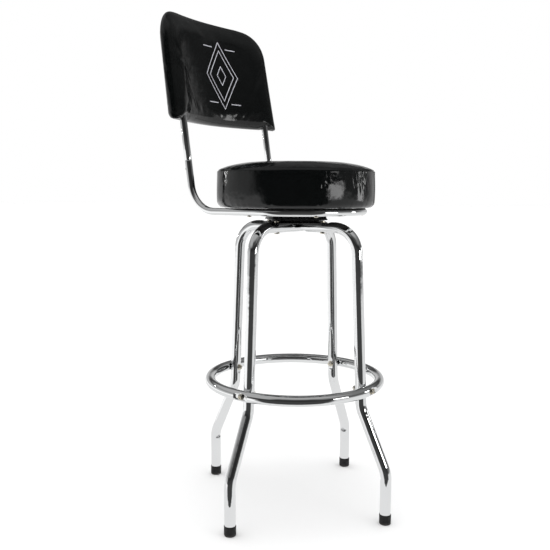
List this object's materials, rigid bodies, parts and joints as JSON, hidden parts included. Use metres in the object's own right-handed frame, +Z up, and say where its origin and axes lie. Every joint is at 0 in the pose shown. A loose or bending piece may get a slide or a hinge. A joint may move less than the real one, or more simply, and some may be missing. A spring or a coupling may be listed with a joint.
{
  "type": "swivel bar stool with backrest",
  "caption": "Counter-height swivel stool: bent chrome tube legs with a foot ring, round padded seat on a ball-bearing swivel, curved padded back.",
  "frame": {"origin": "on the floor, under the middle of the stool's bounding box", "axes": "+Z up; the sitter faces -Y; +X is the sitter's left. The swivel axis is parallel to +Z, 22.0 mm in front of the origin, because the back overhangs the rear feet."},
  "size_m": [0.5122, 0.5569, 1.1435],
  "materials": {
    "chrome_tube": "bright polished chrome plate on bent steel tube",
    "black_vinyl": "high-gloss black vinyl upholstery, smooth, puckered along its seams",
    "black_rubber": "matt moulded rubber",
    "black_steel": "semi-gloss black paint on pressed steel",
    "bearing_steel": "greased bearing steel",
    "zinc_hardware": "yellowish zinc plate",
    "black_board": "plywood sealed with a thin black coat",
    "plywood": "raw birch plywood",
    "cream_foam": "open-cell polyurethane foam"
  },
  "bodies": {
    "base": {"leg_frame_front_rear": "chrome_tube", "leg_frame_sides": "chrome_tube", "foot_ring": "chrome_tube", "foot_cap_left": "black_rubber", "foot_cap_rear": "black_rubber", "foot_cap_right": "black_rubber", "foot_cap_front": "black_rubber", "ring_bolt_left": "zinc_hardware", "ring_bolt_rear": "zinc_hardware", "ring_bolt_right": "zinc_hardware", "ring_bolt_front": "zinc_hardware", "ring_nut_left": "zinc_hardware", "ring_nut_rear": "zinc_hardware", "ring_nut_right": "zinc_hardware", "ring_nut_front": "zinc_hardware", "swivel_base_plate": "black_steel", "plate_bolt_left": "zinc_hardware", "plate_bolt_rear": "zinc_hardware", "plate_bolt_right": "zinc_hardware", "plate_bolt_front": "zinc_hardware", "plate_nut_left": "zinc_hardware", "plate_nut_rear": "zinc_hardware", "plate_nut_right": "zinc_hardware", "plate_nut_front": "zinc_hardware", "swivel_pivot_bolt": "zinc_hardware", "swivel_pivot_nut": "zinc_hardware"},
    "ball_ring": {"ball_bearing_ring": "bearing_steel"},
    "seat": {"swivel_upper_race": "bearing_steel", "swivel_pan": "black_steel", "pan_screw_left": "zinc_hardware", "pan_screw_rear": "zinc_hardware", "pan_screw_right": "zinc_hardware", "pan_screw_front": "zinc_hardware", "seat_board": "black_board", "seat_foam": "cream_foam", "seat_cover": "black_vinyl", "seat_hoop": "chrome_tube", "hoop_screw_front_left": "zinc_hardware", "hoop_screw_front_right": "zinc_hardware", "hoop_screw_rear_left": "zinc_hardware", "hoop_screw_rear_right": "zinc_hardware", "back_post_left": "chrome_tube", "post_screw_left": "zinc_hardware", "back_screw_left_lower": "zinc_hardware", "back_screw_left_upper": "zinc_hardware", "back_post_right": "chrome_tube", "post_screw_right": "zinc_hardware", "back_screw_right_lower": "zinc_hardware", "back_screw_right_upper": "zinc_hardware", "back_board": "plywood", "back_foam_front": "cream_foam", "back_foam_rear": "cream_foam", "back_cover": "black_vinyl"}
  },
  "joints": [
    {"name": "seat_swivel", "type": "hinge", "parent": "base", "child": "seat", "pos_m": [0, -0.02197, 0.68], "axis": [0, 0, 1], "continuous": true},
    {"name": "ball_ring_turn", "type": "hinge", "parent": "base", "child": "ball_ring", "pos_m": [0, -0.02197, 0.679], "axis": [0, 0, 1], "continuous": true}
  ],
  "couplings": [
    {"joint": "ball_ring_turn", "follows": "seat_swivel", "ratio": 0.5}
  ]
}
